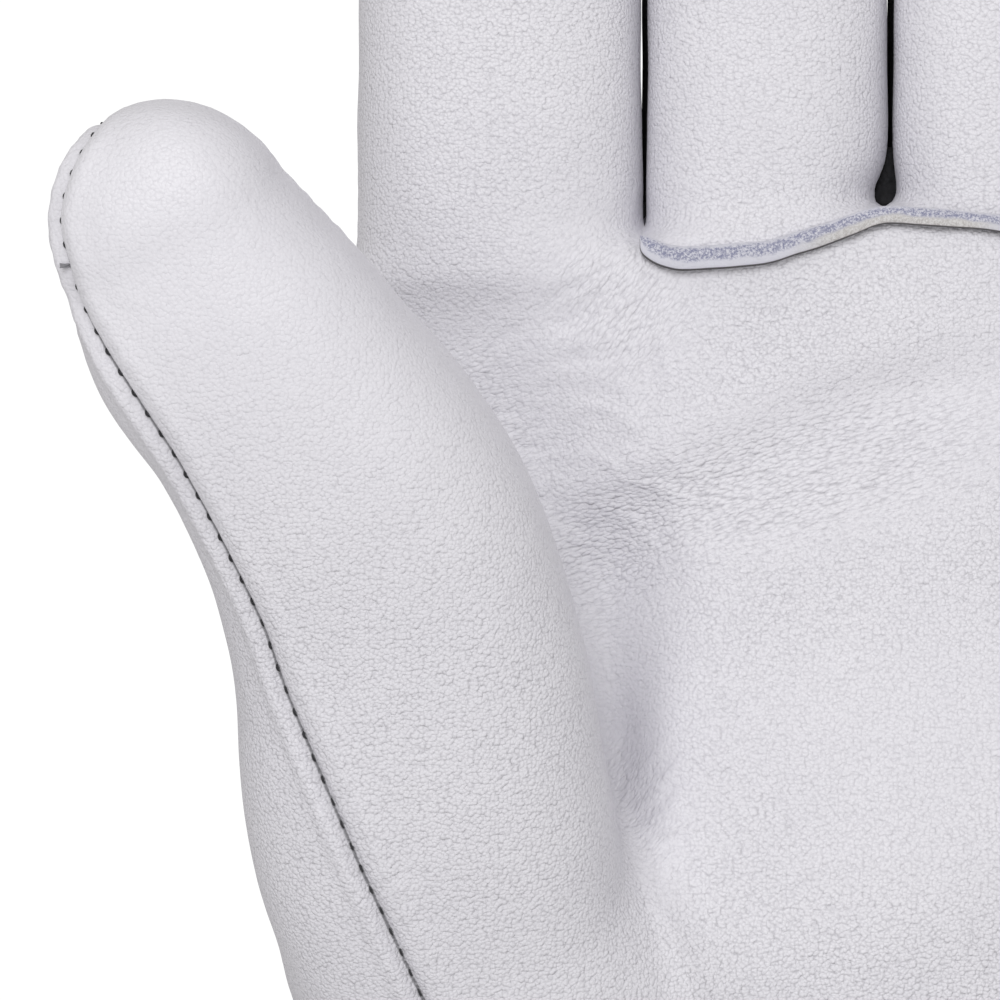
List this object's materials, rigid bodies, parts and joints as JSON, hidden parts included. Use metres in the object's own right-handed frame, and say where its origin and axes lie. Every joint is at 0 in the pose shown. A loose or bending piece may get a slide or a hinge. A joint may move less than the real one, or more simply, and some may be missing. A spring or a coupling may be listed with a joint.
{
  "type": "welding glove",
  "caption": "Left-hand TIG welding glove in pearl goatskin with black fourchettes, wing thumb and flared split-leather cuff, standing upright on its rim; fingers and thumb bend.",
  "frame": {"origin": "centre of the cuff's mouth, level with the rim that the glove stands on", "axes": "+Z from the cuff to the fingertips, palm facing -Y, thumb on the -X side"},
  "size_m": [0.1464, 0.0959, 0.33],
  "materials": {
    "goatskin": "satin",
    "black_fourchette": "matte",
    "split_leather": "matte",
    "hem_binding": "matte",
    "raw_edge": "matte"
  },
  "bodies": {
    "hand": {"palm_panel": "goatskin", "back_panel": "goatskin", "finger_base_seam_edge": "raw_edge", "cuff_front": "split_leather", "cuff_back": "split_leather", "hem_binding": "hem_binding", "thumb_base_crease": "goatskin", "index_base_crease": "goatskin", "middle_base_crease": "goatskin", "ring_base_crease": "goatskin", "little_base_crease": "goatskin"},
    "index_low": {"index_front_low": "goatskin", "index_back_low": "goatskin", "index_right_fourchette_low": "black_fourchette", "index_mid_crease": "goatskin"},
    "index_tip": {"index_front_tip": "goatskin", "index_back_tip": "goatskin", "index_right_fourchette_tip": "black_fourchette"},
    "middle_low": {"middle_front_low": "goatskin", "middle_back_low": "goatskin", "middle_left_fourchette_low": "black_fourchette", "middle_right_fourchette_low": "black_fourchette", "middle_mid_crease": "goatskin"},
    "middle_tip": {"middle_front_tip": "goatskin", "middle_back_tip": "goatskin", "middle_left_fourchette_tip": "black_fourchette", "middle_right_fourchette_tip": "black_fourchette"},
    "ring_low": {"ring_front_low": "goatskin", "ring_back_low": "goatskin", "ring_left_fourchette_low": "black_fourchette", "ring_right_fourchette_low": "black_fourchette", "ring_mid_crease": "goatskin"},
    "ring_tip": {"ring_front_tip": "goatskin", "ring_back_tip": "goatskin", "ring_left_fourchette_tip": "black_fourchette", "ring_right_fourchette_tip": "black_fourchette"},
    "little_low": {"little_front_low": "goatskin", "little_back_low": "goatskin", "little_left_fourchette_low": "black_fourchette", "little_mid_crease": "goatskin"},
    "little_tip": {"little_front_tip": "goatskin", "little_back_tip": "goatskin", "little_left_fourchette_tip": "black_fourchette"},
    "thumb_low": {"thumb_front_low": "goatskin", "thumb_back_low": "goatskin", "thumb_mid_crease": "goatskin"},
    "thumb_tip": {"thumb_front_tip": "goatskin", "thumb_back_tip": "goatskin"}
  },
  "joints": [
    {"name": "index_base_bend", "type": "hinge", "parent": "hand", "child": "index_low", "pos_m": [-0.0387, 0, 0.247], "axis": [1, 0, 0], "range_deg": [-8, 70], "deforming": ["index_base_crease"]},
    {"name": "index_tip_bend", "type": "hinge", "parent": "index_low", "child": "index_tip", "pos_m": [-0.0387, 0, 0.283], "axis": [1, 0, 0], "range_deg": [0, 75], "deforming": ["index_mid_crease"]},
    {"name": "middle_base_bend", "type": "hinge", "parent": "hand", "child": "middle_low", "pos_m": [-0.0121, 0, 0.247], "axis": [1, 0, 0], "range_deg": [-8, 70], "deforming": ["middle_base_crease"]},
    {"name": "middle_tip_bend", "type": "hinge", "parent": "middle_low", "child": "middle_tip", "pos_m": [-0.0121, 0, 0.286], "axis": [1, 0, 0], "range_deg": [0, 75], "deforming": ["middle_mid_crease"]},
    {"name": "ring_base_bend", "type": "hinge", "parent": "hand", "child": "ring_low", "pos_m": [0.0121, 0, 0.247], "axis": [1, 0, 0], "range_deg": [-8, 70], "deforming": ["ring_base_crease"]},
    {"name": "ring_tip_bend", "type": "hinge", "parent": "ring_low", "child": "ring_tip", "pos_m": [0.0121, 0, 0.284], "axis": [1, 0, 0], "range_deg": [0, 75], "deforming": ["ring_mid_crease"]},
    {"name": "little_base_bend", "type": "hinge", "parent": "hand", "child": "little_low", "pos_m": [0.0354, 0, 0.2455], "axis": [1, 0, 0], "range_deg": [-8, 70], "deforming": ["little_base_crease"]},
    {"name": "little_tip_bend", "type": "hinge", "parent": "little_low", "child": "little_tip", "pos_m": [0.0354, 0, 0.273], "axis": [1, 0, 0], "range_deg": [0, 75], "deforming": ["little_mid_crease"]},
    {"name": "thumb_base_swing", "type": "hinge", "parent": "hand", "child": "thumb_low", "pos_m": [-0.047, -0.0285, 0.19], "axis": [0.0039, -0.9508, -0.3096], "range_deg": [-10, 25], "deforming": ["thumb_base_crease"]},
    {"name": "thumb_tip_bend", "type": "hinge", "parent": "thumb_low", "child": "thumb_tip", "pos_m": [-0.056, -0.037, 0.218], "axis": [-0.7821, -0.4053, -0.4734], "range_deg": [-45, 8], "deforming": ["thumb_mid_crease"]}
  ]
}
